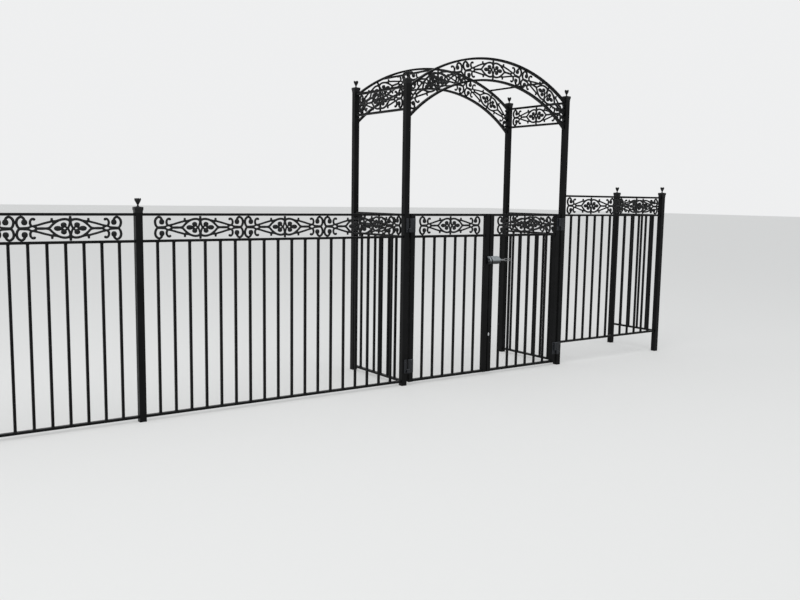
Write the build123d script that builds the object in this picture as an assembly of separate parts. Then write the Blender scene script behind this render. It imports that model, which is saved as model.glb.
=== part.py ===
"""Ornamental iron railing with a pair of gate leaves in a four-post arched arbor.

Frame: the origin is under the arbor's front left post, at the centre of its foot. X runs along the
fence to the right, Y runs back from it into the arbor, and Z is up. All sizes are in millimetres.
"""

import math
import os

from build123d import *

# Posts
post_size = 41.3
cap_grip = 6.0  # how far a cap's collar covers the post
fence_cap_clear = 0.65  # top rail to the collar over it
arbor_cap_clear = 3.0  # arch rail to the collar over it
cap_collar_wall = 2.0
cap_height = 29.0
cap_overhang = 5.0
cap_plate = 5.0
finial_height = 52.0
finial_radius = 17.0
finial_neck = 4.5
finial_flutes = 8
finial_notch = 9.0  # depth of the two grooves that part the tulip's petals

# Rails and pickets
rail_depth = 25.4
rail_height = 15.0
picket_size = 15.0
bottom_rail_z = 30.0  # centre of the bottom rail over the ground
top_rail_z = 1220.0
scroll_band = 154.0  # top rail to second rail, centre to centre
right_step = 152.4  # how much higher the right-hand bays stand

# Bays, post centre to post centre, and their pickets
left_bay = 1884.0
left_bay_count = 2
left_pickets = 18
gate_width = 1545.0
right_bay = 1235.6
right_pickets = 12
return_bay = 510.0
return_pickets = 4
arbor_depth = 670.0
side_pickets = 6

# Arches and headers
arch_radius = 1238.0  # centre line of the outer rail
arch_top_z = 2362.0
header_z = 2104.0  # centre of the header's upper rail
tie_offset = 537.0  # tie bar from the middle of the gateway
tie_size = 12.7

# Scroll castings
left_castings = 3
right_castings = 2
arch_castings = 3
casting_length = 568.0
casting_thickness = 10.0
scroll_bar = 10.5  # width of the drawn bars
seat_gap = 0.3
curl_radius = 29.5
curl_steps = 5
curl_start = -80.0  # angle of the curl's first point, and how far it winds on from there
curl_turn = 300.0

# Gate leaves
leaf_stile = 35.6
leaf_rail_height = 17.5  # the leaves have stouter rails than the bays
leaf_pickets = 6
hinge_gap = 20.3  # post to hinge stile
meeting_gap = 8.0
hinge_height = 98.0
hinge_ear = 30.0  # height of the post half's ear, which carries the pin
hinge_plate = 5.0
hinge_reach = 28.0  # how far the post's plate covers it
hinge_block = 15.0  # side of the square block round the pin
hinge_centres = (1146.0, 140.0)
pin_radius = 4.0
pin_play = 0.08
ear_play = 1.0  # height left free between the two halves
block_clear = 1.5  # post or plate to the turning block

# Slide bolt
bolt_z = 880.0
bolt_radius = 6.0
bolt_play = 0.08
bolt_throw = 30.0
case_length = 93.0
case_height = 42.0
case_depth = 40.0
keeper_length = 14.0
keeper_inset = 3.0  # keeper to the edge of its stile
keeper_play = 1.5
pull_length = 62.0
pull_height = 20.0
pull_bar = 5.0

half_post = post_size / 2
half_rail = rail_height / 2
band_clear = scroll_band - rail_height
second_rail_z = top_rail_z - scroll_band
left_end_x = -left_bay * left_bay_count
corner_x = gate_width + right_bay
arch_centre_z = arch_top_z - arch_radius
middle_x = gate_width / 2
arch_shoulder_z = arch_centre_z + math.sqrt((arch_radius + half_rail) ** 2 - (middle_x - half_post) ** 2)
fence_post_top = top_rail_z + half_rail + fence_cap_clear + cap_grip
right_post_top = fence_post_top + right_step
arbor_post_top = max(arch_shoulder_z, header_z + half_rail) + arbor_cap_clear + cap_grip


def write(name, solids):
    """One file for a node, from one solid or several that don't touch."""
    solids = solids if isinstance(solids, list) else [solids]
    flat = [s for item in solids for s in item.solids()]
    export_step(Compound(children=flat) if len(flat) > 1 else flat[0], f"parts/{name}.step")


def block(low, high):
    """A box between two corners."""
    size = [b - a for a, b in zip(low, high)]
    middle = [(a + b) / 2 for a, b in zip(low, high)]
    return Pos(*middle) * Box(*size)


# Posts, caps and finials
def post(x, y, top):
    return block((x - half_post, y - half_post, 0), (x + half_post, y + half_post, top))


def frustum(sides, z, height, low, high, turn=0.0):
    """A straight-sided ring between two polygons, given by the radii of their corners."""
    wide, narrow = max(low, high), min(low, high)
    lean = math.degrees(math.atan((wide - narrow) * math.cos(math.pi / sides) / height))
    ring = extrude(RegularPolygon(wide, sides, rotation=turn), amount=height, taper=lean)
    return Pos(0, 0, z) * ring if low >= high else Pos(0, 0, z + height) * Rot(180, 0, 0) * ring


def finial():
    """A tulip of four petals on a thin neck, over a small foot."""
    rises = [finial_height * share for share in (0, 0.2, 0.32, 0.6, 1)]
    radii = [finial_radius * 0.6, finial_neck, finial_neck, finial_radius * 0.8, finial_radius]
    tulip = Part() + [frustum(finial_flutes, rises[i], rises[i + 1] - rises[i], radii[i], radii[i + 1])
                      for i in range(len(rises) - 1)]
    side = finial_notch * math.sqrt(2)
    groove = Pos(0, 0, finial_height) * Rot(0, 45, 0) * Box(side, 3 * finial_radius, side)
    return tulip - groove - Rot(0, 0, 90) * groove


def cap(x, y, top):
    """A collar over the post's end, a flare and a plate, with the finial on top."""
    collar = post_size + 2 * cap_collar_wall
    plate = collar + 2 * cap_overhang
    flare_height = cap_height - cap_plate
    flare = frustum(4, 0, flare_height, collar / math.sqrt(2), plate / math.sqrt(2), turn=45)
    lid = Pos(0, 0, flare_height + cap_plate / 2) * Box(plate, plate, cap_plate)
    sleeve = Pos(0, 0, -cap_grip / 2) * Box(collar, collar, cap_grip)
    sleeve -= Pos(0, 0, -cap_grip / 2) * Box(post_size, post_size, cap_grip)
    return Pos(x, y, top) * (flare + lid + sleeve + Pos(0, 0, cap_height) * finial())


# Panels of rails and pickets, drawn from x = 0 along X and centred on y = 0
def rail(length, z, height=rail_height):
    return block((0, -rail_depth / 2, z - height / 2), (length, rail_depth / 2, z + height / 2))


def ladder(length, pickets, lift=0.0, height=rail_height):
    """Second rail, bottom rail and pickets with equal gaps between them."""
    low, high = bottom_rail_z + lift, second_rail_z + lift
    gap = (length - pickets * picket_size) / (pickets + 1)
    body = rail(length, low, height) + rail(length, high, height)
    bars = [
        Pos((i + 1) * gap + (i + 0.5) * picket_size, 0, (low + high) / 2)
        * Box(picket_size, picket_size, high - low - height)
        for i in range(pickets)
    ]
    return body + bars


def panel(length, pickets, lift=0.0):
    return [ladder(length, pickets, lift), rail(length, top_rail_z + lift)]


# Scroll castings: bars and leaves drawn in the casting's own plane, then given their thickness
def stroke(points, width, pointed=False):
    """The outline of an even bar along straight pieces, mitred at its bends. It may end in a point."""
    sides = ([], [])
    for i, (x, z) in enumerate(points):
        runs = []
        for a, b in ((i - 1, i), (i, i + 1)):
            if 0 <= a and b < len(points):
                dx, dz = points[b][0] - points[a][0], points[b][1] - points[a][1]
                size = math.hypot(dx, dz)
                runs.append((-dz / size, dx / size))
        nx, nz = sum(n[0] for n in runs), sum(n[1] for n in runs)
        reach = width / 2 / (nx * runs[0][0] + nz * runs[0][1])
        sides[0].append((x + nx * reach, z + nz * reach))
        sides[1].append((x - nx * reach, z - nz * reach))
    if pointed:
        sides[0][-1] = points[-1]
        sides[1].pop()
    return outline(sides[0] + sides[1][::-1])


def outline(points):
    return make_face(Polyline(*points, close=True))


def curl(a, b):
    """Points of the C-scroll at the end of a quarter, which winds in to a little over half its radius."""
    centre_u, centre_v = a - curl_radius - scroll_bar / 2, b - curl_radius - scroll_bar / 2
    points = [(a - 1.5 * curl_radius, 0)]
    for i in range(1, curl_steps + 1):
        share = i / curl_steps
        radius = curl_radius * (1 - share * share / 2)
        angle = math.radians(curl_start + curl_turn * share)
        points.append((centre_u + radius * math.cos(angle), centre_v + radius * math.sin(angle)))
    return points


def quarter(a, b):
    """One quarter's bars and leaves, in a casting of half length a and half height b.

    The stem on the centre line forks into two vines. They rise to the shoulders of a heart, dip where the
    hearts of both ends meet, and close each heart with a side that runs down to its point.
    """
    fork, point = a * 0.66, a * 0.37
    shoulder, dip = (a * 0.15, b * 0.8), (0, b * 0.56)
    side_top = (a * 0.265, b * 0.62)
    bars = [curl(a, b), [(fork, 0), shoulder, dip], [(point, 0), side_top]]
    hook = [(fork, 0), (a * 0.715, b * 0.42), (a * 0.675, b * 0.84), (a * 0.76, b * 0.4), (a * 0.7, 0)]
    leaf = [(0, 0), (a * 0.095, b * 0.5), (a * 0.15, b * 0.17), (a * 0.3, 0)]
    return bars, [hook, leaf]


def casting(length, height, place, keep=None):
    """A casting of four mirrored quarters, whose points go to the panel's plane by place(u, v).

    Where keep is given, the casting is cut off to that block, as on site, and a loose end is dropped.
    """
    a, b = length / 2, height / 2
    bars, leaves = quarter(a, b)
    lines = [[(0, -b), (0, b)]]
    lines += [[(u * sx, v * sz) for u, v in line] for line in bars for sx in (-1, 1) for sz in (-1, 1)]
    lines += [[(u * sx, 0) for u in (bars[2][0][0], bars[0][0][0])] for sx in (-1, 1)]
    shapes = [[(u * sx, v * sz) for u, v in leaf] for leaf in leaves for sx in (-1, 1) for sz in (-1, 1)]
    faces = [stroke([place(u, v) for u, v in line], scroll_bar, len(line) > 3) for line in lines]
    faces += [outline([place(u, v) for u, v in shape]) for shape in shapes]
    face = faces[0]
    for other in faces[1:]:
        face = face + other
    solid = extrude(Plane.XZ * face, amount=casting_thickness / 2, both=True)
    if keep is not None:
        solid = (solid & keep).solids().sort_by(SortBy.VOLUME)[-1]
    return solid


def flat(u, v):
    return u, v


def flat_castings(length, count, z, clear=band_clear):
    """Castings in a row, centred in a straight panel of this clear length, between rails this far apart."""
    pitch = min(casting_length, length / count)
    start = (length - pitch * count) / 2
    one = casting(pitch - seat_gap, clear - 2 * seat_gap, flat)
    return [Pos(start + pitch * (i + 0.5), 0, z) * one for i in range(count)]


band_z = top_rail_z - scroll_band / 2
left_clear = left_bay - post_size
right_clear = right_bay - post_size
return_clear = return_bay - post_size
side_clear = arbor_depth - post_size


def from_post(x, y=0.0):
    """The place where a panel starts on the right-hand side of a post."""
    return Pos(x + half_post, y, 0)


def to_back(x):
    """The place of a panel that runs back, along Y, from the post at x on the front line."""
    return Pos(x, half_post, 0) * Rot(0, 0, 90)


os.makedirs("parts", exist_ok=True)

write("line_post_left_end", post(left_end_x, 0, fence_post_top))
for index in range(1, left_bay_count):
    write(f"line_post_left_{index}", post(left_end_x + index * left_bay, 0, fence_post_top))
write("corner_post_right", post(corner_x, 0, right_post_top))
write("rear_post_right", post(corner_x, return_bay, right_post_top))
arbor_feet = {
    "front_left": (0, 0),
    "back_left": (0, arbor_depth),
    "front_right": (gate_width, 0),
    "back_right": (gate_width, arbor_depth),
}
for name, (x, y) in arbor_feet.items():
    write(f"arbor_post_{name}", post(x, y, arbor_post_top))

write("line_post_caps", [cap(left_end_x + i * left_bay, 0, fence_post_top) for i in range(left_bay_count)])
write("corner_post_cap", cap(corner_x, 0, right_post_top))
write("rear_post_cap", cap(corner_x, return_bay, right_post_top))
write("arbor_post_caps", [cap(x, y, arbor_post_top) for x, y in arbor_feet.values()])

# Fence bays
for index in range(left_bay_count):
    start = from_post(left_end_x + index * left_bay)
    label = "outer" if index == 0 else f"inner_{index}"
    write(f"left_panel_{label}", [start * s for s in panel(left_clear, left_pickets)])
    write(f"left_scrolls_{label}", [start * s for s in flat_castings(left_clear, left_castings, band_z)])
start = from_post(gate_width)
write("right_panel", [start * s for s in panel(right_clear, right_pickets, right_step)])
write("right_scrolls", [start * s for s in flat_castings(right_clear, right_castings, band_z + right_step)])
start = to_back(corner_x)
write("return_panel", [start * s for s in panel(return_clear, return_pickets, right_step)])
kept = block((casting_length / 2 - return_clear + seat_gap, -post_size, -scroll_band),
             (casting_length / 2, post_size, scroll_band))
cut_casting = casting(casting_length - seat_gap, band_clear - 2 * seat_gap, flat, kept)
write("return_scroll", start * Pos(return_clear - casting_length / 2, 0, band_z + right_step) * cut_casting)

# Arbor sides and headers
for side, x in (("left", 0), ("right", gate_width)):
    start = to_back(x)
    write(f"arbor_side_panel_{side}", [start * s for s in panel(side_clear, side_pickets)])
    write(f"arbor_side_scroll_{side}", [start * s for s in flat_castings(side_clear, 1, band_z)])
    write(f"header_rails_{side}", [start * rail(side_clear, header_z - drop) for drop in (0, scroll_band)])
    write(f"header_scroll_{side}",
          [start * s for s in flat_castings(side_clear, 1, header_z - scroll_band / 2)])


# Arches: two curved rails that end on the posts' inner faces
def arch_rail(radius, y):
    ring = Pos(middle_x, y, arch_centre_z) * Rot(90, 0, 0) * (
        Cylinder(radius + half_rail, rail_depth) - Cylinder(radius - half_rail, rail_depth))
    reach = block((half_post, y - rail_depth, arch_centre_z + radius * 0.4),
                  (gate_width - half_post, y + rail_depth, arch_top_z + 2 * rail_height))
    return ring & reach


inner_radius = arch_radius - scroll_band
band_radius = arch_radius - scroll_band / 2
arch_pitch = casting_length / band_radius


def arch_place(turn):
    """Bends a flat casting's points round the arch, with its middle turned from the top."""
    def place(u, v):
        angle, radius = turn + u / band_radius, band_radius + v
        return middle_x + radius * math.sin(angle), arch_centre_z + radius * math.cos(angle)
    return place


turns = [(i - (arch_castings - 1) / 2) * arch_pitch for i in range(arch_castings)]
between_posts = block((half_post + seat_gap, -rail_depth, 0),
                      (gate_width - half_post - seat_gap, rail_depth, arch_top_z))
arch_scrolls = [casting(casting_length - seat_gap, band_clear - 2 * seat_gap, arch_place(turn), between_posts)
                for turn in turns]
for name, y in (("front", 0), ("back", arbor_depth)):
    write(f"arch_rails_{name}", [arch_rail(radius, y) for radius in (arch_radius, inner_radius)])
    write(f"arch_scrolls_{name}", [Pos(0, y, 0) * s for s in arch_scrolls])
tie_z = arch_centre_z + math.sqrt(arch_radius**2 - tie_offset**2)
tie_span = arbor_depth - rail_depth
write("arch_tie_bars", [Pos(middle_x + side * tie_offset, arbor_depth / 2, tie_z)
                        * Box(tie_size, tie_span, tie_size) for side in (-1, 1)])

# Gate leaves, drawn for the left one and mirrored for the right one
leaf_start = half_post + hinge_gap
leaf_end = middle_x - meeting_gap / 2
leaf_clear = leaf_end - leaf_start - 2 * leaf_stile
stile_top = top_rail_z + leaf_rail_height / 2
stile_foot = bottom_rail_z - leaf_rail_height / 2
hinge_x = half_post + hinge_gap / 2
hinge_y = -half_post - block_clear - hinge_block / 2


def leaf_frame():
    stiles = [block((x, -leaf_stile / 2, stile_foot), (x + leaf_stile, leaf_stile / 2, stile_top))
              for x in (leaf_start, leaf_end - leaf_stile)]
    inside = Pos(leaf_start + leaf_stile, 0, 0)
    frame = inside * ladder(leaf_clear, leaf_pickets, height=leaf_rail_height)
    frame += inside * rail(leaf_clear, top_rail_z, leaf_rail_height)
    return frame + stiles


def hinge_block_part(low, high, near, far):
    """The square block round the pin over part of the height, which reaches along X to the piece it is on."""
    back, front = hinge_y + hinge_block / 2, hinge_y - hinge_block / 2
    return block((min(near, far), front, low), (max(near, far), back, high))


def post_half(z):
    """A plate on the post with an ear at its foot, from which the pin stands up."""
    low, high = z - hinge_height / 2, z + hinge_height / 2
    plate_edge = hinge_x - hinge_block / 2 - block_clear - hinge_plate
    half = block((half_post - hinge_reach, -half_post - hinge_plate, low), (plate_edge, -half_post, high))
    half += hinge_block_part(low, low + hinge_ear, plate_edge - hinge_plate, hinge_x + hinge_block / 2)
    half += block((plate_edge - hinge_plate, hinge_y, low), (plate_edge, -half_post, low + hinge_ear))
    return half + Pos(hinge_x, hinge_y, z) * Cylinder(pin_radius, hinge_height)


def leaf_half(z):
    """A box as wide as the stile, whose end is bored for the pin."""
    low, high = z - hinge_height / 2 + hinge_ear + ear_play, z + hinge_height / 2
    half = hinge_block_part(low, high, hinge_x - hinge_block / 2, leaf_start + leaf_stile)
    half += block((leaf_start, hinge_y, low), (leaf_start + leaf_stile, -leaf_stile / 2, high))
    return half - Pos(hinge_x, hinge_y, z) * Cylinder(pin_radius + pin_play, hinge_height + 1)


def to_right(solid):
    """The same piece on the other side of the gateway's middle."""
    return mirror(solid, about=Plane.YZ.offset(middle_x))


leaf = leaf_frame()
leaf_band = scroll_band - leaf_rail_height
leaf_scroll = Pos(leaf_start + leaf_stile, 0, 0) * flat_castings(leaf_clear, 1, band_z, leaf_band)[0]
write("gate_leaf_left", leaf)
write("gate_leaf_right", to_right(leaf))
write("gate_scroll_left", leaf_scroll)
write("gate_scroll_right", to_right(leaf_scroll))
write("hinges_on_post_left", [post_half(z) for z in hinge_centres])
write("hinges_on_post_right", [to_right(post_half(z)) for z in hinge_centres])
write("hinges_on_leaf_left", [leaf_half(z) for z in hinge_centres])
write("hinges_on_leaf_right", [to_right(leaf_half(z)) for z in hinge_centres])

# Slide bolt: a case on the right leaf's meeting stile, and a keeper on the left leaf's
def along_x(start, end, radius):
    """A round bar along X on the bolt's axis."""
    return Pos((start + end) / 2, bolt_y, bolt_z) * Rot(0, 90, 0) * Cylinder(radius, end - start)


bolt_y = -(leaf_stile + case_depth) / 2
case_start = middle_x + meeting_gap / 2
case_end = case_start + case_length
case = block((case_start, bolt_y, bolt_z - case_height / 2),
             (case_end, -leaf_stile / 2, bolt_z + case_height / 2))
case += along_x(case_start, case_end, case_depth / 2)
write("bolt_case", case - along_x(case_start - 1, case_end + 1, bolt_radius + bolt_play))
keeper_end = leaf_end - keeper_inset
keeper = block((keeper_end - keeper_length, -leaf_stile / 2 - case_depth, bolt_z - case_height / 2),
               (keeper_end, -leaf_stile / 2, bolt_z + case_height / 2))
hole = 2 * (bolt_radius + keeper_play)
keeper -= Pos(keeper_end - keeper_length / 2, bolt_y, bolt_z) * Box(keeper_length, hole, hole)
write("bolt_keeper", keeper)
bolt_end = case_end + bolt_throw + bolt_radius
pull = Box(pull_length, pull_bar, pull_height)
pull -= Box(pull_length - 2 * pull_bar, pull_bar, pull_height - 2 * pull_bar)
bolt = along_x(case_start, bolt_end, bolt_radius) + Pos(bolt_end + pull_length / 2, bolt_y, bolt_z) * pull
write("slide_bolt", bolt)
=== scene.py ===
import math

import bpy
from mathutils import Matrix, Vector


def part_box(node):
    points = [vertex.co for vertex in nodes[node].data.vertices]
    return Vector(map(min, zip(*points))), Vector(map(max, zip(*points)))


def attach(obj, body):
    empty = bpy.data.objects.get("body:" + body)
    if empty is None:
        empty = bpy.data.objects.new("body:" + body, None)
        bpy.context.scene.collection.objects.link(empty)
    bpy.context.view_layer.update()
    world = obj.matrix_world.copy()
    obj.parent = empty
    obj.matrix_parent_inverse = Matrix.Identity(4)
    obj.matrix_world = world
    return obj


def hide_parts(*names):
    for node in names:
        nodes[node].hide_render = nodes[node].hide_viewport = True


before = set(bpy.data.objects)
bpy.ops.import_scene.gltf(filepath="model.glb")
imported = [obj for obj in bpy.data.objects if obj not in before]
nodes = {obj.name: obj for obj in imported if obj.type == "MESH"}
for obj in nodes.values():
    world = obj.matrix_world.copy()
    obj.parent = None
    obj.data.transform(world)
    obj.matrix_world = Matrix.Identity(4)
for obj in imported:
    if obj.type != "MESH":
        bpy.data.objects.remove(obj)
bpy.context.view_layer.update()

mm = 0.001
quarterTurn = math.pi / 2
eighthTurn = math.pi / 4


# Small helpers for working as by hand
def pickOnly(piece):
    bpy.ops.object.select_all(action="DESELECT")
    piece.select_set(True)
    bpy.context.view_layer.objects.active = piece


def selectNothing(piece):
    pickOnly(piece)
    for part in (piece.data.vertices, piece.data.edges, piece.data.polygons):
        for item in part:
            item.select = False


def selectFaces(piece, wanted):
    # leaves the piece in edit mode with only the faces of a wanted normal selected
    selectNothing(piece)
    for face in piece.data.polygons:
        face.select = wanted(face.normal)
    bpy.context.tool_settings.mesh_select_mode = (False, False, True)
    bpy.ops.object.mode_set(mode="EDIT")


def selectEdges(piece, wanted):
    # leaves the piece in edit mode with only the edges between wanted ends selected
    selectNothing(piece)
    for edge in piece.data.edges:
        edge.select = wanted(*(piece.data.vertices[index].co for index in edge.vertices))
    bpy.context.tool_settings.mesh_select_mode = (False, True, False)
    bpy.ops.object.mode_set(mode="EDIT")


def applyModifiers(piece):
    pickOnly(piece)
    for modifier in list(piece.modifiers):
        bpy.ops.object.modifier_apply(modifier=modifier.name)


def roundEdges(piece, width, segments=2, angle=30):
    bevel = piece.modifiers.new("roundedEdges", "BEVEL")
    bevel.width = width * mm
    bevel.segments = segments
    bevel.limit_method = "ANGLE"
    bevel.angle_limit = math.radians(angle)
    applyModifiers(piece)


def smoothShade(piece, angle):
    pickOnly(piece)
    bpy.ops.object.shade_smooth_by_angle(angle=math.radians(angle))


def joinPieces(pieces, name):
    bpy.ops.object.select_all(action="DESELECT")
    for piece in pieces:
        piece.select_set(True)
    bpy.context.view_layer.objects.active = pieces[0]
    if len(pieces) > 1:
        bpy.ops.object.join()
    joined = bpy.context.view_layer.objects.active
    joined.name = name
    joined.data.name = name
    return joined


def copyPiece(piece, move):
    # a copy with a mesh of its own, whose place is in its vertices
    copied = piece.copy()
    copied.data = piece.data.copy()
    bpy.context.scene.collection.objects.link(copied)
    copied.data.transform(move)
    if move.determinant() < 0:
        copied.data.flip_normals()
    return copied


def justAdded(name):
    # names the primitive that was just added and moves its place into its mesh
    piece = bpy.context.active_object
    piece.name = name
    bpy.ops.object.transform_apply(location=True, rotation=True, scale=True)
    return piece


def risingRings(name, sides, profile, place=(0, 0, 0), turn=0.0, bored=False):
    # a form drawn up from a polygon through rings of (height, corner radius) in mm, round a
    # place in metres; a bored one comes back down inside itself and closes on its first ring
    height, radius = profile[0]
    bpy.ops.object.select_all(action="DESELECT")
    bpy.ops.mesh.primitive_circle_add(
        vertices=sides, radius=radius * mm, fill_type="NOTHING" if bored else "NGON",
        location=(place[0], place[1], place[2] + height * mm))
    piece = justAdded(name)
    middle = Vector(place)
    if turn:
        piece.data.transform(Matrix.Translation(middle) @ Matrix.Rotation(turn, 4, "Z")
                             @ Matrix.Translation(-middle))
    bpy.context.tool_settings.mesh_select_mode = (False, bored, not bored)
    bpy.ops.object.mode_set(mode="EDIT")
    bpy.ops.mesh.select_all(action="SELECT")
    for nextHeight, nextRadius in profile[1:]:
        bpy.ops.mesh.extrude_region_move(
            TRANSFORM_OT_translate={"value": (0, 0, (nextHeight - height) * mm)})
        share = nextRadius / radius
        bpy.ops.transform.resize(value=(share, share, 1), center_override=(place[0], place[1], 0))
        height, radius = nextHeight, nextRadius
    bpy.ops.mesh.select_all(action="SELECT")
    if bored:
        sameSpot = 0.02 * mm
        bpy.ops.mesh.remove_doubles(threshold=sameSpot)
    bpy.ops.mesh.normals_make_consistent(inside=False)
    bpy.ops.object.mode_set(mode="OBJECT")
    return piece


def slab(name, low, high):
    # a block between two corners in mm, as the start of a shaped piece
    size = [(b - a) * mm for a, b in zip(low, high)]
    centre = [(a + b) / 2 * mm for a, b in zip(low, high)]
    bpy.ops.object.select_all(action="DESELECT")
    bpy.ops.mesh.primitive_cube_add(size=1, location=centre, scale=size)
    return justAdded(name)


def roundedBar(name, low, high, corner, steps=2):
    # a square bar whose long edges are rounded
    piece = slab(name, low, high)
    size = [b - a for a, b in zip(low, high)]
    axis = size.index(max(size))
    selectEdges(piece, lambda start, end: abs(end[axis] - start[axis]) > size[axis] / 2 * mm)
    bpy.ops.mesh.bevel(offset=corner * mm, segments=steps, affect="EDGES")
    bpy.ops.object.mode_set(mode="OBJECT")
    return piece


def cutAway(piece, point, normal):
    pickOnly(piece)
    bpy.ops.object.mode_set(mode="EDIT")
    bpy.ops.mesh.select_all(action="SELECT")
    bpy.ops.mesh.bisect(plane_co=point, plane_no=normal, use_fill=True, clear_outer=True)
    bpy.ops.object.mode_set(mode="OBJECT")


def inMillimetres(nodeName):
    low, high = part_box(nodeName)
    return [value / mm for value in low], [value / mm for value in high]


def finished(piece, body, material, slotName, *replaced):
    piece.data.materials.clear()
    piece.data.materials.append(material)
    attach(piece, body)
    if replaced:
        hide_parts(*replaced)


# Paint and metal, all on Object coordinates
paintPlan = {  # each pattern's scale, detail and roughness, and the span that its ramp covers
    "clouds": (7, 4, 0.55), "cloudRamp": (0.35, 0.68),
    "patches": (28, 5, 0.55), "patchRamp": (0.3, 0.7),
    "chips": (95, 3, 0.7), "chipRim": 0.03,
    "sheen": (16, 6, 0.65), "sheenRamp": (0.3, 0.75), "shinier": 0.08, "duller": 0.1,
    "grainDetail": (4, 0.6), "grainDepth": 0.6,
    "dustAndHighlightSlope": 0.4, "edgeRamp": (0.72, 0.97), "edgeSamples": 4,
}


def paintedIron(name, look):
    plan = paintPlan
    material = bpy.data.materials.new(name)
    material.use_nodes = True
    tree = material.node_tree
    shader = tree.nodes["Principled BSDF"]
    shader.inputs["Specular IOR Level"].default_value = look["gloss"]
    shader.inputs["Metallic"].default_value = look.get("metal", 0.0)
    place = tree.nodes.new("ShaderNodeTexCoord")

    def noise(scale, detail, rough):
        node = tree.nodes.new("ShaderNodeTexNoise")
        node.inputs["Scale"].default_value = scale
        node.inputs["Detail"].default_value = detail
        node.inputs["Roughness"].default_value = rough
        tree.links.new(place.outputs["Object"], node.inputs["Vector"])
        return node.outputs["Fac"]

    def ramp(source, span, values):
        node = tree.nodes.new("ShaderNodeValToRGB")
        for element, position, colour in zip(node.color_ramp.elements, span, values):
            element.position = position
            element.color = (*(colour if isinstance(colour, tuple) else [colour] * 3), 1)
        tree.links.new(source, node.inputs["Fac"])
        return node.outputs["Color"]

    def mixed(share, first, second):
        node = tree.nodes.new("ShaderNodeMix")
        node.data_type = "RGBA"  # whose two colours are sockets 6 and 7
        tree.links.new(share, node.inputs["Factor"])
        for socket, value in ((node.inputs[6], first), (node.inputs[7], second)):
            if isinstance(value, tuple):
                socket.default_value = (*value, 1)
            else:
                tree.links.new(value, socket)
        return node.outputs[2]

    cloudy = ramp(noise(*plan["clouds"]), plan["cloudRamp"], (look["dark"], look["light"]))
    # dust lies on what faces up, and a painted highlight of the sky lightens the same faces
    facing = tree.nodes.new("ShaderNodeNewGeometry")
    upward = tree.nodes.new("ShaderNodeSeparateXYZ")
    tree.links.new(facing.outputs["Normal"], upward.inputs["Vector"])
    dustAndHighlightSpan = (look["dustAndHighlightFrom"], look["dustAndHighlightFrom"] + plan["dustAndHighlightSlope"])
    # upward faces are mixed towards one light colour, partly dust and partly painted highlight
    dustAndHighlightRamp = ramp(upward.outputs["Z"], dustAndHighlightSpan, (0.0, look["dustAndHighlightOnTop"]))
    patchy = ramp(noise(*plan["patches"]), plan["patchRamp"], (look["patch"], 1.0))
    dustAndHighlightShare = tree.nodes.new("ShaderNodeMath")
    dustAndHighlightShare.operation = "MULTIPLY"
    tree.links.new(dustAndHighlightRamp, dustAndHighlightShare.inputs[0])
    tree.links.new(patchy, dustAndHighlightShare.inputs[1])
    withDustAndHighlight = mixed(dustAndHighlightShare.outputs["Value"], cloudy, look["dustAndPaintedHighlight"])
    # the coat is thin along edges, where hands and shears rub it
    eased = tree.nodes.new("ShaderNodeBevel")
    eased.samples = plan["edgeSamples"]
    eased.inputs["Radius"].default_value = look["edgeReach"] * mm
    turned = tree.nodes.new("ShaderNodeVectorMath")
    turned.operation = "DOT_PRODUCT"
    tree.links.new(eased.outputs["Normal"], turned.inputs[0])
    tree.links.new(facing.outputs["True Normal"], turned.inputs[1])
    rubbed = ramp(turned.outputs["Value"], plan["edgeRamp"], (look["edgeWear"], 0.0))
    withEdges = mixed(rubbed, withDustAndHighlight, look["edge"])
    # small chips of worn paint, a few of them down to rust
    chipSpan = (look["chipsFrom"], look["chipsFrom"] + plan["chipRim"])
    chips = ramp(noise(*plan["chips"]), chipSpan, (0.0, 1.0))
    worn = mixed(chips, withEdges, look["chip"])
    tree.links.new(worn, shader.inputs["Base Color"])
    roughness = (look["rough"] - plan["shinier"], look["rough"] + plan["duller"])
    sheen = ramp(noise(*plan["sheen"]), plan["sheenRamp"], roughness)
    tree.links.new(sheen, shader.inputs["Roughness"])
    bump = tree.nodes.new("ShaderNodeBump")
    bump.inputs["Strength"].default_value = look["bump"]
    bump.inputs["Distance"].default_value = plan["grainDepth"] * mm
    tree.links.new(noise(look["grain"], *plan["grainDetail"]), bump.inputs["Height"])
    tree.links.new(bump.outputs["Normal"], shader.inputs["Normal"])
    return material


# the upward faces of bars and castings get a light mix of dust and painted highlight
barPaint = paintedIron("satinBarPaint", {
    "dark": (0.0022, 0.0023, 0.0025), "light": (0.0052, 0.0054, 0.0058),
    "dustAndPaintedHighlight": (0.045, 0.047, 0.048), "patch": 0.45, "dustAndHighlightFrom": 0.5, "dustAndHighlightOnTop": 0.25,
    "edge": (0.03, 0.031, 0.032), "edgeWear": 0.4, "edgeReach": 1.2,
    "chip": (0.03, 0.018, 0.013), "chipsFrom": 0.75,
    "rough": 0.43, "bump": 0.18, "grain": 420, "gloss": 0.1,
})
castPaint = paintedIron("satinCastPaint", {
    "dark": (0.0032, 0.0034, 0.0037), "light": (0.0075, 0.008, 0.0086),
    "dustAndPaintedHighlight": (0.055, 0.058, 0.064), "patch": 0.45, "dustAndHighlightFrom": 0.4, "dustAndHighlightOnTop": 0.32,
    "edge": (0.035, 0.037, 0.04), "edgeWear": 0.35, "edgeReach": 1.0,
    "chip": (0.032, 0.02, 0.014), "chipsFrom": 0.76,
    "rough": 0.4, "bump": 0.45, "grain": 260, "gloss": 0.2,
})
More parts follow.
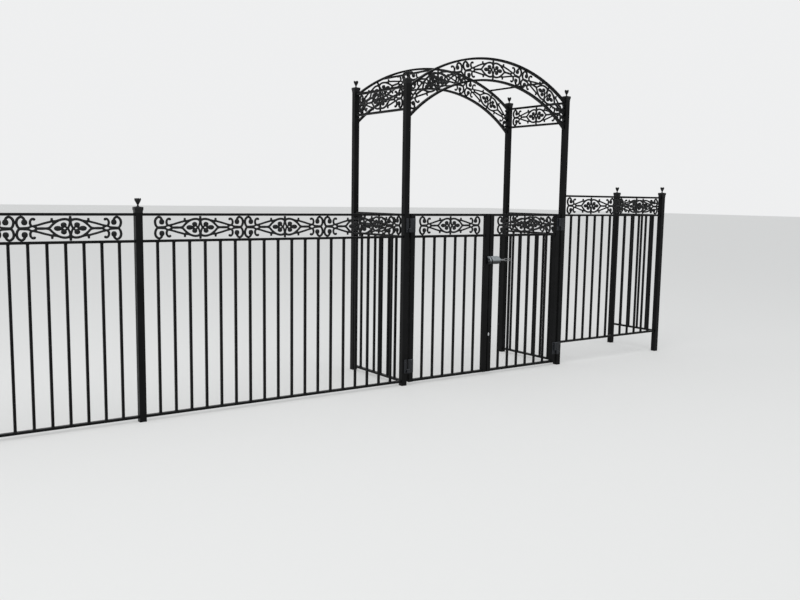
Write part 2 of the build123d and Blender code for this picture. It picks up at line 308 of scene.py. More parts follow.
# its light grey top is a painted reflection of the sky, with a little dust
hardwarePaint = paintedIron("hardwarePaintWithPaintedSkyTop", {
    "dark": (0.0085, 0.0098, 0.0108), "light": (0.016, 0.018, 0.0198),
    "dustAndPaintedHighlight": (0.31, 0.338, 0.35), "patch": 0.8, "dustAndHighlightFrom": -0.05, "dustAndHighlightOnTop": 1.0,
    "edge": (0.09, 0.1, 0.105), "edgeWear": 0.6, "edgeReach": 1.4,
    "chip": (0.07, 0.055, 0.045), "chipsFrom": 0.71,
    "rough": 0.38, "bump": 0.15, "grain": 380, "gloss": 0.4,
})
# its lighter top band is a painted highlight, with some dust
hingePaint = paintedIron("satinHingePaint", {
    "dark": (0.0082, 0.0092, 0.0118), "light": (0.014, 0.0155, 0.0195),
    "dustAndPaintedHighlight": (0.1, 0.106, 0.118), "patch": 0.6, "dustAndHighlightFrom": 0.25, "dustAndHighlightOnTop": 0.8,
    "edge": (0.06, 0.066, 0.07), "edgeWear": 0.7, "edgeReach": 1.6,
    "chip": (0.05, 0.035, 0.025), "chipsFrom": 0.73,
    "rough": 0.4, "bump": 0.15, "grain": 380, "gloss": 0.28,
})
boltSteel = paintedIron("weatheredSteel", {
    "dark": (0.2, 0.205, 0.21), "light": (0.36, 0.37, 0.38),
    "dustAndPaintedHighlight": (0.3, 0.3, 0.3), "patch": 0.45, "dustAndHighlightFrom": 0.3, "dustAndHighlightOnTop": 0.3,
    "edge": (0.45, 0.45, 0.45), "edgeWear": 0.5, "edgeReach": 0.8,
    "chip": (0.1, 0.055, 0.032), "chipsFrom": 0.69,
    "rough": 0.36, "bump": 0.2, "grain": 500, "gloss": 0.5, "metal": 0.7,
})
brightZinc = paintedIron("brightZinc", {
    "dark": (0.5, 0.51, 0.52), "light": (0.66, 0.67, 0.68),
    "dustAndPaintedHighlight": (0.5, 0.5, 0.5), "patch": 0.45, "dustAndHighlightFrom": 0.3, "dustAndHighlightOnTop": 0.3,
    "edge": (0.75, 0.75, 0.75), "edgeWear": 0.4, "edgeReach": 0.6,
    "chip": (0.2, 0.13, 0.09), "chipsFrom": 0.72,
    "rough": 0.34, "bump": 0.15, "grain": 600, "gloss": 0.5, "metal": 0.35,
})
print("materials made")

# Square bars with rounded edges: posts, panels, leaves, headers and tie bars; all sizes in mm
barPlan = {
    "postCorner": 1.5, "stileCorner": 1.5, "barCorner": 0.8, "squareSteps": 3,
    "picket": 15.0, "rail": 15.0, "railDepth": 25.4, "leafRail": 17.5, "stile": 35.6,
    "band": 154.0,  # top rail to second rail, centre to centre
    "bedded": 1.0,  # how far a picket runs into its rails
    "weld": [(-0.6, 13.4), (0.5, 13.0), (2.2, 11.4), (3.4, 10.2)],  # (height, corner radius)
}
panelPlan = {  # node: body, direction, number of pickets
    "left_panel_outer": ("railing", "X", 18), "left_panel_inner_1": ("railing", "X", 18),
    "right_panel": ("railing", "X", 12), "return_panel": ("railing", "Y", 4),
    "arbor_side_panel_left": ("railing", "Y", 6), "arbor_side_panel_right": ("railing", "Y", 6),
    "header_rails_left": ("railing", "Y", 0), "header_rails_right": ("railing", "Y", 0),
    "gate_leaf_left": ("left_leaf", "X", 6), "gate_leaf_right": ("right_leaf", "X", 6),
}
upsideDown = Matrix.Diagonal((1, 1, -1, 1))


def barAlong(name, start, end, middle, height):
    # a rail along the panel's own X, beside y = 0
    half = barPlan["railDepth"] / 2
    return roundedBar(name, (start, -half, middle - height / 2), (end, half, middle + height / 2),
                      barPlan["barCorner"])


def panelBars(nodeName, body, direction, pickets):
    plan = barPlan
    low, high = inMillimetres(nodeName)
    axis = "XY".index(direction)
    length = high[axis] - low[axis]
    stile = plan["stile"] if nodeName.startswith("gate_leaf") else 0.0
    rail = plan["leafRail"] if stile else plan["rail"]
    top, bottom = high[2] - rail / 2, low[2] + rail / 2
    second = top - plan["band"]
    levels = [top, second, bottom] if pickets else [top, second]
    pieces = [barAlong("rail", stile, length - stile, level, rail) for level in levels]
    for start in ([0.0, length - stile] if stile else []):
        pieces.append(roundedBar("stile", (start, -stile / 2, low[2]),
                                 (start + stile, stile / 2, high[2]),
                                 plan["stileCorner"], plan["squareSteps"]))
    if pickets:
        half, foot, head = plan["picket"] / 2, bottom + rail / 2, second - rail / 2
        picket = roundedBar("picket", (-half, -half, foot - plan["bedded"]),
                            (half, half, head + plan["bedded"]), plan["barCorner"])
        weld = risingRings("weld", 4, plan["weld"], turn=eighthTurn)
        gap = (length - 2 * stile - pickets * plan["picket"]) / (pickets + 1)
        for index in range(pickets):
            along = (stile + (index + 1) * gap + (index + 0.5) * plan["picket"]) * mm
            atFoot, atHead = (Matrix.Translation((along, 0, level * mm)) for level in (foot, head))
            pieces.append(copyPiece(picket, Matrix.Translation((along, 0, 0))))
            pieces.append(copyPiece(weld, atFoot))
            pieces.append(copyPiece(weld, atHead @ upsideDown))
        bpy.data.objects.remove(picket)
        bpy.data.objects.remove(weld)
    panel = joinPieces(pieces, "bars_" + nodeName)
    start = [(a + b) / 2 * mm for a, b in zip(low, high)]
    start[axis] = low[axis] * mm
    start[2] = 0
    panel.data.transform(Matrix.Translation(start) @ Matrix.Rotation(quarterTurn * axis, 4, "Z"))
    finished(panel, body, barPaint, "painted_bar", nodeName)


for nodeName, (body, direction, pickets) in panelPlan.items():
    panelBars(nodeName, body, direction, pickets)
posts = [name for name in nodes if "post_" in name and "cap" not in name and "hinges" not in name]
for nodeName in posts:
    low, high = inMillimetres(nodeName)
    tube = roundedBar("tube_" + nodeName, low, high, barPlan["postCorner"], barPlan["squareSteps"])
    finished(tube, "railing", barPaint, "painted_bar", nodeName)
low, high = inMillimetres("arch_tie_bars")
tieWidth = high[2] - low[2]
ties = [roundedBar("tie", (start, low[1], low[2]), (start + tieWidth, high[1], high[2]),
                   barPlan["barCorner"])
        for start in (low[0], high[0] - tieWidth)]
finished(joinPieces(ties, "bars_arch_tie_bars"), "railing", barPaint, "painted_bar",
         "arch_tie_bars")
print("bars, posts and welds made")

# Rails and castings of the arches are made straight and then bent round the centre; sizes in mm
archPlan = {
    "radii": (1238.0, 1084.0), "bandRadius": 1161.0, "centreZ": 1124.0,
    "pitch": 568.0, "castings": 3,
    "railSteps": 90, "reach": 1.04,  # a straight rail is this much longer than its arc, then cut
}


def bendToArch(piece, radius, turn, middleX, middleY):
    for vertex in piece.data.vertices:
        angle, reach = turn + vertex.co.x / radius, radius + vertex.co.z
        vertex.co = (middleX + reach * math.sin(angle), middleY + vertex.co.y,
                     archPlan["centreZ"] * mm + reach * math.cos(angle))


def archRail(radius, low, high):
    half = archPlan["reach"] * radius * math.asin((high.x - low.x) / 2 / (radius * mm))
    rail = barAlong("archRail", -half, half, 0, barPlan["rail"])
    selectEdges(rail, lambda start, end: abs(end.x - start.x) > half * mm)
    bpy.ops.mesh.subdivide(number_cuts=archPlan["railSteps"])
    bpy.ops.object.mode_set(mode="OBJECT")
    bendToArch(rail, radius * mm, 0.0, (low.x + high.x) / 2, (low.y + high.y) / 2)
    cutAway(rail, (low.x, 0, 0), (-1, 0, 0))
    cutAway(rail, (high.x, 0, 0), (1, 0, 0))
    return rail


for side in ("front", "back"):
    low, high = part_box("arch_rails_" + side)
    pair = joinPieces([archRail(radius, low, high) for radius in archPlan["radii"]],
                      "bars_arch_rails_" + side)
    smoothShade(pair, angle=12)
    finished(pair, "railing", barPaint, "painted_bar", "arch_rails_" + side)
print("arch rails bent")

# One cast scroll panel, drawn as a quarter in its own plane and mirrored; all sizes in mm
castingPlan = {
    "halfLength": 283.8,
    "halfHeight": 69.2,
    "heavier": 2.0,  # added to each half width, because the skin shrinks as it is eased
    "bars": [  # points (along, up, half width)
        [(262, 0, 5.0), (271, 8, 5.4), (277.5, 23, 5.6), (278.5, 41, 5.8), (270, 58, 5.8),
         (255, 65.2, 5.6), (243, 58, 5.6), (238, 46, 5.8)],
        [(268, 2, 5.2), (240, 3.5, 5.0), (218, 6, 4.6), (201, 12.5, 4.2), (188, 9.5, 4.4),
         (177, 2, 5.2)],
        [(198, 11, 4.6), (207, 20, 5.2), (210.5, 34, 5.2), (206, 48, 4.9), (197, 55, 4.8),
         (188, 51, 5.8)],
        [(199, 13, 4.6), (170, 20, 4.7), (144, 28, 4.9), (120, 34.5, 4.9), (98, 40, 5.0),
         (78, 42, 5.0), (63, 46, 5.0)],
        [(99, 38, 5.0), (98, 49, 5.2), (98, 60, 4.4)],
        [(184, 0, 5.4), (150, 1.2, 5.4), (124, 1, 5.4), (111, 5, 5.2), (96, 20, 5.3),
         (80, 34, 5.4), (63, 45, 5.6), (46, 51, 5.8), (31, 53, 5.9), (15, 51, 5.9), (4, 44, 5.7),
         (0, 34, 5.4)],
        [(0, 71, 5.6), (0, 56, 5.6), (0, 34, 5.4)],
        [(0, 42, 5.2), (5, 22, 4.6), (13, 0, 4.0)],
        [(13, 0, 4.2), (20, 4, 3.8), (28, 10, 3.8), (38, 8, 4.6), (50, 0, 5.6)],
    ],
    "lobes": [  # broad flat leaves and the balls of the scrolls, given in the same way
        [(48, 0, 6.0), (56, 0, 12.0), (68, 0, 14.0), (79, 0, 12.0), (88, 0, 4.5)],
        [(41, 7, 5.5), (39, 12, 12.5), (36, 20, 15.5), (32.5, 28, 12.5), (30.5, 34, 4.5)],
        [(239, 52, 4.0), (239, 46, 12.0), (239, 34, 15.0), (239, 23, 11.5), (239, 18.5, 4.0)],
        [(198, 55, 3.0), (195, 55, 5.8), (189, 51, 7.2), (184.5, 46, 3.0)],
    ],
    "lobeThickness": 0.6,
    "strokeRoundness": 3,
    "strokeSteps": 6,
    "voxel": 1.7,
    "easing": 0.5,
    "easingRounds": 3,
    "faces": 13000,
}


def castStrokes(name, strokes, thickness=1.0):
    line = bpy.data.curves.new(name, "CURVE")
    line.dimensions = "3D"
    line.bevel_depth = mm
    line.bevel_resolution = castingPlan["strokeRoundness"]
    line.resolution_u = castingPlan["strokeSteps"]
    line.use_fill_caps = True
    for stroke in strokes:
        spline = line.splines.new("BEZIER")
        spline.bezier_points.add(len(stroke) - 1)
        for knot, (along, up, half) in zip(spline.bezier_points, stroke):
            knot.co = (along * mm, 0, up * mm)
            knot.handle_left_type = knot.handle_right_type = "AUTO"
            knot.radius = half + castingPlan["heavier"]
    drawn = bpy.data.objects.new(name, line)
    bpy.context.scene.collection.objects.link(drawn)
    pickOnly(drawn)
    bpy.ops.object.convert(target="MESH")
    drawn = bpy.context.active_object
    drawn.data.transform(Matrix.Diagonal((1, thickness, 1, 1)))
    return drawn


def castingMaster():
    plan = castingPlan
    quarter = joinPieces([castStrokes("castBars", plan["bars"]),
                          castStrokes("castLobes", plan["lobes"], plan["lobeThickness"])],
                         "castingMaster")
    quarters = [quarter]
    for flipAlong, flipUp in ((-1, 1), (1, -1), (-1, -1)):
        quarters.append(copyPiece(quarter, Matrix.Diagonal((flipAlong, 1, flipUp, 1))))
    whole = joinPieces(quarters, "castingMaster")
    skin = whole.modifiers.new("oneSkin", "REMESH")
    skin.mode = "VOXEL"
    skin.voxel_size = plan["voxel"] * mm
    ease = whole.modifiers.new("easeJoints", "SMOOTH")
    ease.factor = plan["easing"]
    ease.iterations = plan["easingRounds"]
    applyModifiers(whole)
    fewer = whole.modifiers.new("fewerFaces", "DECIMATE")
    triangles = 2 * len(whole.data.polygons)  # the skin is all quads
    fewer.ratio = min(1.0, plan["faces"] / triangles)
    applyModifiers(whole)
    # the outermost scrolls and the centre bar just reach the ends and the rails
    reach = [max(abs(vertex.co[axis]) for vertex in whole.data.vertices) for axis in (0, 2)]
    fit = [plan["halfLength"] * mm / reach[0], plan["halfHeight"] * mm / reach[1]]
    whole.data.transform(Matrix.Diagonal((fit[0], 1, fit[1], 1)))
    smoothShade(whole, angle=60)
    return whole


casting = castingMaster()
print("casting modelled:", len(casting.data.polygons), "faces")

castingRows = [  # node, body, direction, how many in a row
    ("left_scrolls_outer", "railing", "X", 3), ("left_scrolls_inner_1", "railing", "X", 3),
    ("right_scrolls", "railing", "X", 2),
    ("arbor_side_scroll_left", "railing", "Y", 1), ("arbor_side_scroll_right", "railing", "Y", 1),
    ("header_scroll_left", "railing", "Y", 1), ("header_scroll_right", "railing", "Y", 1),
    ("gate_scroll_left", "left_leaf", "X", 1), ("gate_scroll_right", "right_leaf", "X", 1),
]
for nodeName, body, direction, count in castingRows:
    low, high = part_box(nodeName)
    axis = "XY".index(direction)
    pitch = (high[axis] - low[axis]) / count
    turnToRow = Matrix.Rotation(quarterTurn * axis, 4, "Z")
    fitHeight = Matrix.Diagonal((1, 1, (high.z - low.z) / (2 * castingPlan["halfHeight"] * mm), 1))
    row = []
    for index in range(count):
        middle = (low + high) / 2
        middle[axis] = low[axis] + pitch * (index + 0.5)
        row.append(copyPiece(casting, Matrix.Translation(middle) @ turnToRow @ fitHeight))
    finished(joinPieces(row, "scrolls_" + nodeName), body, castPaint, "cast_scroll", nodeName)

# The return bay's casting was cut to length on site
low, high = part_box("return_scroll")
place = Vector(((low.x + high.x) / 2, high.y - castingPlan["halfLength"] * mm,
                (low.z + high.z) / 2))
cutCasting = copyPiece(casting, Matrix.Translation(place) @ Matrix.Rotation(quarterTurn, 4, "Z"))
cutCasting.name = "scrolls_return_scroll"
cutAway(cutCasting, (0, low.y, 0), (0, -1, 0))
finished(cutCasting, "railing", castPaint, "cast_scroll", "return_scroll")

for side in ("front", "back"):
    low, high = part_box("arch_scrolls_" + side)
    radius = archPlan["bandRadius"] * mm
    lastCasting = archPlan["castings"] - 1
    bent = []
    for index in range(archPlan["castings"]):
        turn = (index - lastCasting / 2) * archPlan["pitch"] * mm / radius
        one = copyPiece(casting, Matrix.Identity(4))
        bendToArch(one, radius, turn, (low.x + high.x) / 2, (low.y + high.y) / 2)
        if index == 0:
            cutAway(one, (low.x, 0, 0), (-1, 0, 0))
        if index == lastCasting:
            cutAway(one, (high.x, 0, 0), (1, 0, 0))
        bent.append(one)
    finished(joinPieces(bent, "scrolls_arch_scrolls_" + side), "railing", castPaint,
             "cast_scroll", "arch_scrolls_" + side)
bpy.data.objects.remove(casting)
print("castings placed")

# Square caps with tulip finials, as rings of (height, corner radius) in mm
capPlan = {
    "square": [(-6, 30.2), (-5, 30.8), (3, 30.8), (6, 31.1), (9, 32.2), (12, 33.7), (14, 34.5),
               (16, 34.9), (26.5, 34.9), (28.2, 34.2), (29.2, 32.4), (31.2, 19.0)],
    "squareEdge": 0.7,
    "stem": [(29, 10.5), (31.4, 10.4), (33, 8.2), (34.5, 6.0), (37, 4.8), (40, 4.6), (42.5, 5.4),
             (45.5, 7.2), (49, 9.0), (53.5, 11.6), (58.5, 14.6), (64, 17.6), (69.5, 19.8),
             (74.5, 20.4), (79, 18.8), (81, 15.6), (78, 11.8), (70, 7.6), (60, 4.2)],
    "stemSides": 24,
    "bud": [(56, 3.0), (62, 4.2), (68, 5.2), (73, 4.6), (76.5, 2.6), (77.8, 0.6)],
    "budSides": 12,
    "petals": 4,
    "petalsFrom": 48.0,
    "petalNotch": 7.5,
    "notchCurve": 1.5,
    "petalWaist": 0.24,
    "waistRise": 1.3,
    "topRise": 81.0,
}


def tulipCap():
    plan = capPlan
    body = risingRings("capSquare", 4, plan["square"], turn=eighthTurn)
    roundEdges(body, plan["squareEdge"])
    tulip = risingRings("capTulip", plan["stemSides"], plan["stem"])
    # the rim falls between the petals, and the waist draws in there
    rimRise = plan["topRise"] - plan["petalsFrom"]
    for vertex in tulip.data.vertices:
        x, y, z = (value / mm for value in vertex.co)
        if z > plan["petalsFrom"]:
            between = (1 - math.cos(plan["petals"] * math.atan2(y, x))) / 2
            rise = (z - plan["petalsFrom"]) / rimRise
            drop = plan["petalNotch"] * between * rise ** plan["notchCurve"]
            pull = 1 - plan["petalWaist"] * between * min(1.0, plan["waistRise"] * rise)
            vertex.co = (x * pull * mm, y * pull * mm, (z - drop) * mm)
    rounder = tulip.modifiers.new("rounder", "SUBSURF")
    rounder.levels = rounder.render_levels = 1
    applyModifiers(tulip)
    bud = risingRings("capBud", plan["budSides"], plan["bud"])
    rounded = joinPieces([tulip, bud], "tulip")
    smoothShade(rounded, angle=50)
    smoothShade(body, angle=30)
    return joinPieces([body, rounded], "capMaster")


capMaster = tulipCap()
postsUnder = {
    "arbor_post_caps": [name for name in posts if name.startswith("arbor_post_")],
    "line_post_caps": ["line_post_left_end", "line_post_left_1"],
    "corner_post_cap": ["corner_post_right"],
    "rear_post_cap": ["rear_post_right"],
}
for nodeName, cappedPosts in postsUnder.items():
    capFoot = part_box(nodeName)[1].z - capPlan["topRise"] * mm
    caps = []
    for post in cappedPosts:
        low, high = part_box(post)
        middle = (low + high) / 2
        caps.append(copyPiece(capMaster, Matrix.Translation((middle.x, middle.y, capFoot))))
    finished(joinPieces(caps, "tulip_" + nodeName), "railing", castPaint, "cast_cap", nodeName)
bpy.data.objects.remove(capMaster)
print("caps made")

# Hinges, drawn for the left leaf's top one, with heights from its middle; the others are copies
hingePlan = {
    "pin": (30.8, -29.65), "heights": (1146.0, 140.0), "half": 49.0,
    "corner": 1.6, "trim": 0.8, "sides": 24, "plateThick": 5.0,
    # the post half: a plate, an arm with its web, and an ear that carries the pin
    "postFace": -20.65, "plate": (-7.35, 16.8), "plateScrewX": 3.2,
    "armStart": 11.8, "armHalf": 6.0, "webTrim": 0.6,
    "ear": 30.0, "earRim": 6.8, "earPlay": 1.0, "knuckle": 7.5,
    "pinRadius": 4.0, "pinFoot": 4.0, "pinTip": [(1.6, 4.0), (0.4, 3.0), (0.0, 1.0)],
    "pinSides": 20,
    # the leaf half: a box with a sunk lid on a backing plate, an arm, and a bored knuckle
    "box": (41.2, 61.5), "boxFace": -34.5, "boxCorner": 1.2, "boxSteps": 3, "endSlope": 6.5,
    "lidEdge": 3.6, "lidDepth": 1.1, "backing": (41.2, 74.8), "stileFace": -17.8,
    "bore": 4.3, "boreClear": 0.4, "boxArmHalf": 6.6, "boxArmSunk": 2.0, "knuckleRim": 0.7,
    # screws as rings of (height, radius)
    "screw": [(-0.5, 4.4), (1.1, 4.3), (2.2, 3.2), (2.7, 1.2)], "screwSides": 16,
    "screwPlaces": (-30.0, 30.0), "lidScrewInset": 18.0,
}
middleOfGateway = (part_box("gate_leaf_left")[1].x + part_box("gate_leaf_right")[0].x) / 2
toRight = Matrix.Translation((2 * middleOfGateway, 0, 0)) @ Matrix.Diagonal((-1, 1, 1, 1))
towardsFront = Matrix.Rotation(quarterTurn, 4, "X")


def screwHead(x, y, z):
    head = risingRings("screwHead", hingePlan["screwSides"], hingePlan["screw"])
    smoothShade(head, angle=50)
    head.data.transform(Matrix.Translation((x * mm, y * mm, z * mm)) @ towardsFront)
    return head


def slopeEnds(piece, face, *heights):
    # the short edges at the top and foot of a front face are planed off to catch the sky
    near = 0.1 * mm

    def atEnd(point, height):
        return abs(point.z - height * mm) < near and abs(point.y - face * mm) < near

    selectEdges(piece, lambda start, end: any(atEnd(start, height) and atEnd(end, height)
                                              for height in heights))
    bpy.ops.mesh.bevel(offset=hingePlan["endSlope"] * mm, segments=2, affect="EDGES")
    bpy.ops.object.mode_set(mode="OBJECT")


def postHalf():
    plan = hingePlan
    pinX, pinY = plan["pin"]
    centre = (pinX * mm, pinY * mm, 0)
    low, high, face = -plan["half"], plan["half"], plan["postFace"] - plan["plateThick"]
    earTop, trim, armHalf = low + plan["ear"], plan["trim"], plan["armHalf"]
    plateStart, plateEnd = plan["plate"]
    plate = slab("hingePlate", (plateStart, face, low), (plateEnd, plan["postFace"], high))
    roundEdges(plate, plan["corner"])
    arm = slab("hingeArm", (plan["armStart"], pinY - armHalf, low + trim),
               (pinX, pinY + armHalf, earTop - trim))
    web = slab("hingeWeb", (plan["armStart"], pinY, low + plan["webTrim"]),
               (plateEnd, plan["postFace"], earTop))
    roundEdges(arm, plan["corner"])
    ear = risingRings("hingeEar", plan["sides"], [
        (low, plan["earRim"]), (low + trim, plan["knuckle"]), (earTop - trim, plan["knuckle"]),
        (earTop, plan["earRim"])], centre)
    pinRings = [(low + plan["pinFoot"], plan["pinRadius"])]
    pinRings += [(high - drop, radius) for drop, radius in plan["pinTip"]]
    pin = risingRings("hingePin", plan["pinSides"], pinRings, centre)
    for turnedPiece in (ear, pin):
        smoothShade(turnedPiece, angle=40)
    screws = [screwHead(plan["plateScrewX"], face, place) for place in plan["screwPlaces"]]
    return joinPieces([plate, arm, web, ear, pin] + screws, "postHalf")


def leafHalf():
    plan = hingePlan
    pinX, pinY = plan["pin"]
    low, high = -plan["half"] + plan["ear"] + plan["earPlay"], plan["half"]
    trim, armHalf, bore, outside = plan["trim"], plan["boxArmHalf"], plan["bore"], plan["knuckle"]
    boxStart, boxEnd = plan["box"]
    backingFace = plan["stileFace"] - plan["plateThick"]
    box = slab("hingeBox", (boxStart, plan["boxFace"], low), (boxEnd, plan["stileFace"], high))
    slopeEnds(box, plan["boxFace"], low, high)
    selectFaces(box, lambda normal: normal.y < -0.99)  # the front, where the lid is sunk
    bpy.ops.mesh.inset(thickness=plan["lidEdge"] * mm)
    bpy.ops.mesh.extrude_region_move(
        TRANSFORM_OT_translate={"value": (0, plan["lidDepth"] * mm, 0)})
    bpy.ops.object.mode_set(mode="OBJECT")
    roundEdges(box, plan["boxCorner"], plan["boxSteps"])
    backing = slab("hingeBacking", (plan["backing"][0], backingFace, -high),
                   (plan["backing"][1], plan["stileFace"], high))
    roundEdges(backing, plan["corner"])
    arm = slab("boxArm", (pinX + bore + plan["boreClear"], pinY - armHalf, low + trim),
               (boxStart + plan["boxArmSunk"], pinY + armHalf, high - trim))
    roundEdges(arm, plan["corner"])
    rim = outside - plan["knuckleRim"]
    knuckle = risingRings("knuckle", plan["sides"], [
        (low, bore), (low, rim), (low + trim, outside), (high - trim, outside), (high, rim),
        (high, bore), (low, bore)], (pinX * mm, pinY * mm, 0), bored=True)
    smoothShade(knuckle, angle=40)
    lid, inset = plan["boxFace"] + plan["lidDepth"], plan["lidScrewInset"]
    middle, aside = (boxStart + boxEnd) / 2, (boxEnd + plan["backing"][1]) / 2
    screws = [screwHead(middle, lid, place) for place in (low + inset, high - inset)]
    screws += [screwHead(aside, backingFace, place) for place in plan["screwPlaces"]]
    return joinPieces([box, backing, arm, knuckle] + screws, "leafHalf")


for makeHalf, label, bodies in ((postHalf, "hinges_on_post_", ("railing", "railing")),
                                (leafHalf, "hinges_on_leaf_", ("left_leaf", "right_leaf"))):
    master = makeHalf()
    for side, body, mirrored in (("left", bodies[0], Matrix.Identity(4)),
                                 ("right", bodies[1], toRight)):
        pair = [copyPiece(master, mirrored @ Matrix.Translation((0, 0, height * mm)))
                for height in hingePlan["heights"]]
        finished(joinPieces(pair, "dressed_" + label + side), body, hingePaint, "hardware",
                 label + side)
    bpy.data.objects.remove(master)
print("hinges made")

# Slide bolt, drawn along its own axis from the case's left end
boltPlan = {
    "axisY": -37.8, "axisZ": 880.0, "caseStart": 776.5, "keeperStart": 751.5,
    # rings of (along, reach) round the axis
    "case": [(0, 6.3), (0, 18.6), (0.9, 19.7), (6, 20), (64, 20), (70, 19.6), (76, 18.2),
             (80.5, 16), (83, 13.4), (84, 11), (84.4, 9.4), (92.2, 9.4), (93, 8.6), (93, 6.3),
             (46, 6.3), (0, 6.3)],
    "keeper": [(0, 7.6), (0, 18.6), (0.9, 19.8), (13.1, 19.8), (14, 18.6), (14, 7.6), (0, 7.6)],
    "sides": 32,
    # rings beyond the bore grow from round to this outline of (towards the stile, up)
    "outline": [(20, 31), (12, 30), (4, 27), (-4, 21.5), (-11, 13), (-16, 3), (-18.5, -8),
                (-17, -17), (-12, -24), (-2, -29), (10, -31), (20, -31)],
    "roundReach": 20.0, "boreReach": 10.0,
    "bolt": [(0.2, 4.4), (1.6, 5.8), (122.6, 5.95), (124, 5.95), (124.1, 7.6), (124.8, 8.4),
             (128.6, 8.4), (130, 7.2)],
    "boltSides": 24,
    "pull": (129.0, 191.0), "pullHeight": 20.0, "pullBar": 5.0, "pullCorner": 6.0,
    "pullRound": 1.7,
}
alongX = Matrix.Rotation(quarterTurn, 4, "Y")


def onBoltAxis(piece, start, turn=alongX):
    place = (start * mm, boltPlan["axisY"] * mm, boltPlan["axisZ"] * mm)
    piece.data.transform(Matrix.Translation(place) @ turn)


def outlineReach(back, up):
    # how far the outline lies from the bolt's axis in the direction of a point
    outline = boltPlan["outline"]
    parallel, slack = 1e-9, 1e-6
    for (startBack, startUp), (endBack, endUp) in zip(outline, outline[1:] + outline[:1]):
        runBack, runUp = endBack - startBack, endUp - startUp
        across = back * runUp - up * runBack
        if abs(across) < parallel:
            continue
        reach = (startBack * runUp - startUp * runBack) / across
        share = (startBack * up - startUp * back) / across
        if reach > 0 and -slack <= share <= 1 + slack:
            return reach * math.hypot(back, up)
    return boltPlan["roundReach"]


def takeOutline(piece):
    # flat at the stile, highest there and sloped to the front
    for vertex in piece.data.vertices:
        back, up = vertex.co.y / mm, -vertex.co.x / mm
        if math.hypot(back, up) > boltPlan["boreReach"]:
            grow = outlineReach(back, up) / boltPlan["roundReach"]
            vertex.co.x *= grow
            vertex.co.y *= grow


def pullLoop():
    plan = boltPlan
    start, end = plan["pull"]
    half, thick = plan["pullHeight"] / 2, plan["pullBar"] / 2
    loop = slab("pullLoop", (start, -thick, -half), (end, thick, half))
    selectEdges(loop, lambda start, end: abs(end.y - start.y) > mm)
    bpy.ops.mesh.bevel(offset=plan["pullCorner"] * mm, segments=4, affect="EDGES")
    bpy.ops.object.mode_set(mode="OBJECT")
    selectFaces(loop, lambda normal: abs(normal.y) > 0.9)  # both flat sides are opened
    bpy.ops.mesh.inset(thickness=plan["pullBar"] * mm)
    bpy.ops.mesh.delete(type="FACE")
    bpy.context.tool_settings.mesh_select_mode = (False, True, False)
    bpy.ops.mesh.select_all(action="DESELECT")
    bpy.ops.mesh.select_non_manifold()
    bpy.ops.mesh.bridge_edge_loops()
    bpy.ops.mesh.select_all(action="SELECT")
    bpy.ops.mesh.normals_make_consistent(inside=False)
    bpy.ops.object.mode_set(mode="OBJECT")
    roundEdges(loop, plan["pullRound"], segments=3, angle=50)
    smoothShade(loop, angle=40)
    return loop


for nodeName, body, label in (("bolt_case", "right_leaf", "case"),
                              ("bolt_keeper", "left_leaf", "keeper")):
    shell = risingRings("dressed_" + nodeName, boltPlan["sides"], boltPlan[label], bored=True)
    takeOutline(shell)
    onBoltAxis(shell, boltPlan[label + "Start"])
    smoothShade(shell, angle=40)
    finished(shell, body, hardwarePaint, "hardware", nodeName)
rod = risingRings("boltRod", boltPlan["boltSides"], boltPlan["bolt"])
onBoltAxis(rod, boltPlan["caseStart"])
smoothShade(rod, angle=40)
loop = pullLoop()
onBoltAxis(loop, boltPlan["caseStart"], Matrix.Identity(4))
finished(joinPieces([rod, loop], "dressed_slide_bolt"), "bolt", boltSteel, "bolt_steel",
         "slide_bolt")

# A small plated stud low on the right leaf's meeting stile
studPlan = {"place": (783.4, -17.8, 312.0), "sides": 20, "taller": 2.1,
            "rings": [(-0.5, 6.2), (1.2, 6.2), (2.6, 5.3), (3.4, 2.8)]}
stud = risingRings("latch_stud", studPlan["sides"], studPlan["rings"])
smoothShade(stud, angle=40)
studPlace = Matrix.Translation([value * mm for value in studPlan["place"]])
stud.data.transform(studPlace @ towardsFront @ Matrix.Diagonal((1, studPlan["taller"], 1, 1)))
finished(stud, "right_leaf", brightZinc, "bolt_steel")
print("bolt and stud made")

# Floor, light and camera
stagePlan = {
    "floorSize": 160.0, "floorMiddle": (0, 12, 0), "floorColour": (0.76, 0.76, 0.75),
    "floorRough": 0.85, "floorGloss": 0.1, "floorGlow": 0.35, "glowColour": (0.86, 0.86, 0.85),
    "worldColour": (0.95, 0.975, 1.0), "worldStrength": 0.72, "seenColour": (0.86, 0.865, 0.87),
}


def seenShare(tree, strength):
    # the share of the pale colour for rays of the camera, of gloss and through glass
    lightPath = tree.nodes.new("ShaderNodeLightPath")
    share = lightPath.outputs["Is Camera Ray"]
    for rayName in ("Is Glossy Ray", "Is Transmission Ray"):
        either = tree.nodes.new("ShaderNodeMath")
        either.operation = "MAXIMUM"
        tree.links.new(share, either.inputs[0])
        tree.links.new(lightPath.outputs[rayName], either.inputs[1])
        share = either.outputs["Value"]
    part = tree.nodes.new("ShaderNodeMath")
    part.operation = "MULTIPLY"
    part.inputs[1].default_value = strength
    tree.links.new(share, part.inputs[0])
    return part.outputs["Value"]


def seenPaler(tree, strength, lit, pale, output):
    # the lit shader gives the light, and the pale one is what the camera sees of it
    blend = tree.nodes.new("ShaderNodeMixShader")
    tree.links.new(seenShare(tree, strength), blend.inputs[0])
    tree.links.new(lit.outputs[0], blend.inputs[1])
    tree.links.new(pale.outputs[0], blend.inputs[2])
    tree.links.new(blend.outputs[0], tree.nodes[output].inputs["Surface"])


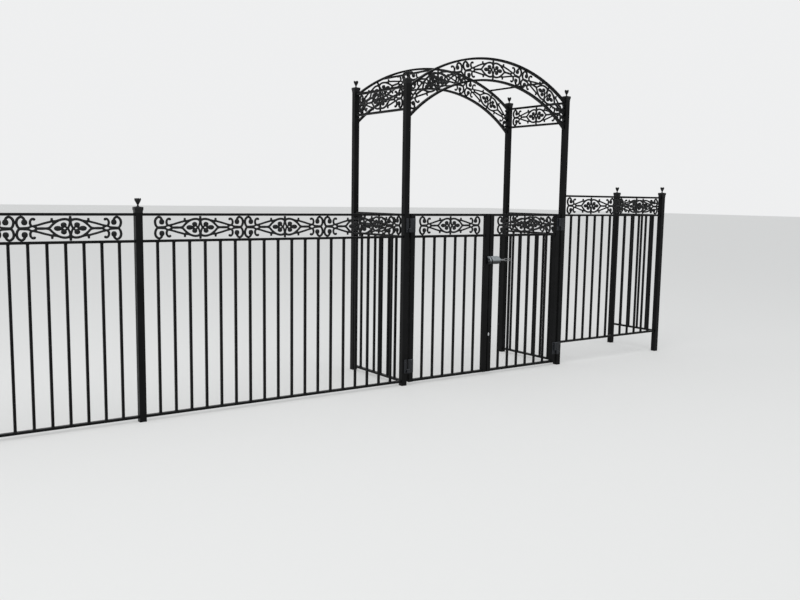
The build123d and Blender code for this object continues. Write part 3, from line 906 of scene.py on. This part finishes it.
bpy.ops.object.select_all(action="DESELECT")
bpy.ops.mesh.primitive_plane_add(size=stagePlan["floorSize"], location=stagePlan["floorMiddle"])
floor = justAdded("paleFloor")
paleFloor = bpy.data.materials.new("paleFloor")
paleFloor.use_nodes = True
floorTree = paleFloor.node_tree
floorShader = floorTree.nodes["Principled BSDF"]
floorShader.inputs["Base Color"].default_value = (*stagePlan["floorColour"], 1)
floorShader.inputs["Roughness"].default_value = stagePlan["floorRough"]
floorShader.inputs["Specular IOR Level"].default_value = stagePlan["floorGloss"]
glow = floorTree.nodes.new("ShaderNodeEmission")
glow.inputs["Color"].default_value = (*stagePlan["glowColour"], 1)
seenPaler(floorTree, stagePlan["floorGlow"], floorShader, glow, "Material Output")
floor.data.materials.append(paleFloor)

world = bpy.data.worlds.new("paleStudio")
bpy.context.scene.world = world
world.use_nodes = True
worldTree = world.node_tree
backdrop = worldTree.nodes["Background"]
backdrop.inputs["Color"].default_value = (*stagePlan["worldColour"], 1)
backdrop.inputs["Strength"].default_value = stagePlan["worldStrength"]
seen = worldTree.nodes.new("ShaderNodeBackground")
seen.inputs["Color"].default_value = (*stagePlan["seenColour"], 1)
seenPaler(worldTree, 1.0, backdrop, seen, "World Output")

lamps = {
    "softAbove": {"place": (-1.5, -3.5, 7.5), "aim": (0.3, 0.3, 0.8), "size": 7.0, "power": 210.0},
    "softLeft": {"place": (-8.0, -3.0, 4.5), "aim": (0.0, 0.3, 1.0), "size": 5.0, "power": 130.0},
}
for lampName, plan in lamps.items():
    lampData = bpy.data.lights.new(lampName, "AREA")
    lampData.size = plan["size"]
    lampData.energy = plan["power"]
    lamp = bpy.data.objects.new(lampName, lampData)
    bpy.context.scene.collection.objects.link(lamp)
    lamp.location = plan["place"]
    towards = Vector(plan["aim"]) - Vector(plan["place"])
    lamp.rotation_euler = towards.to_track_quat("-Z", "Y").to_euler()

cameraPlan = {"place": (-3.4565, -4.8847, 1.3393), "heading": 35.0116, "dip": 6.8812,
              "roll": 0.8863, "lens": 38.188, "sensor": 36.0, "sight": 300.0}
cameraData = bpy.data.cameras.new("photoCamera")
cameraData.lens = cameraPlan["lens"]
cameraData.sensor_width = cameraPlan["sensor"]
cameraData.clip_end = cameraPlan["sight"]
camera = bpy.data.objects.new("photoCamera", cameraData)
bpy.context.scene.collection.objects.link(camera)
camera.matrix_world = (Matrix.Translation(cameraPlan["place"])
                       @ Matrix.Rotation(-math.radians(cameraPlan["heading"]), 4, "Z")
                       @ Matrix.Rotation(math.radians(90 - cameraPlan["dip"]), 4, "X")
                       @ Matrix.Rotation(math.radians(cameraPlan["roll"]), 4, "Z"))
bpy.context.scene.camera = camera
bpy.context.scene.view_settings.view_transform = "Standard"
print("stage and camera set")
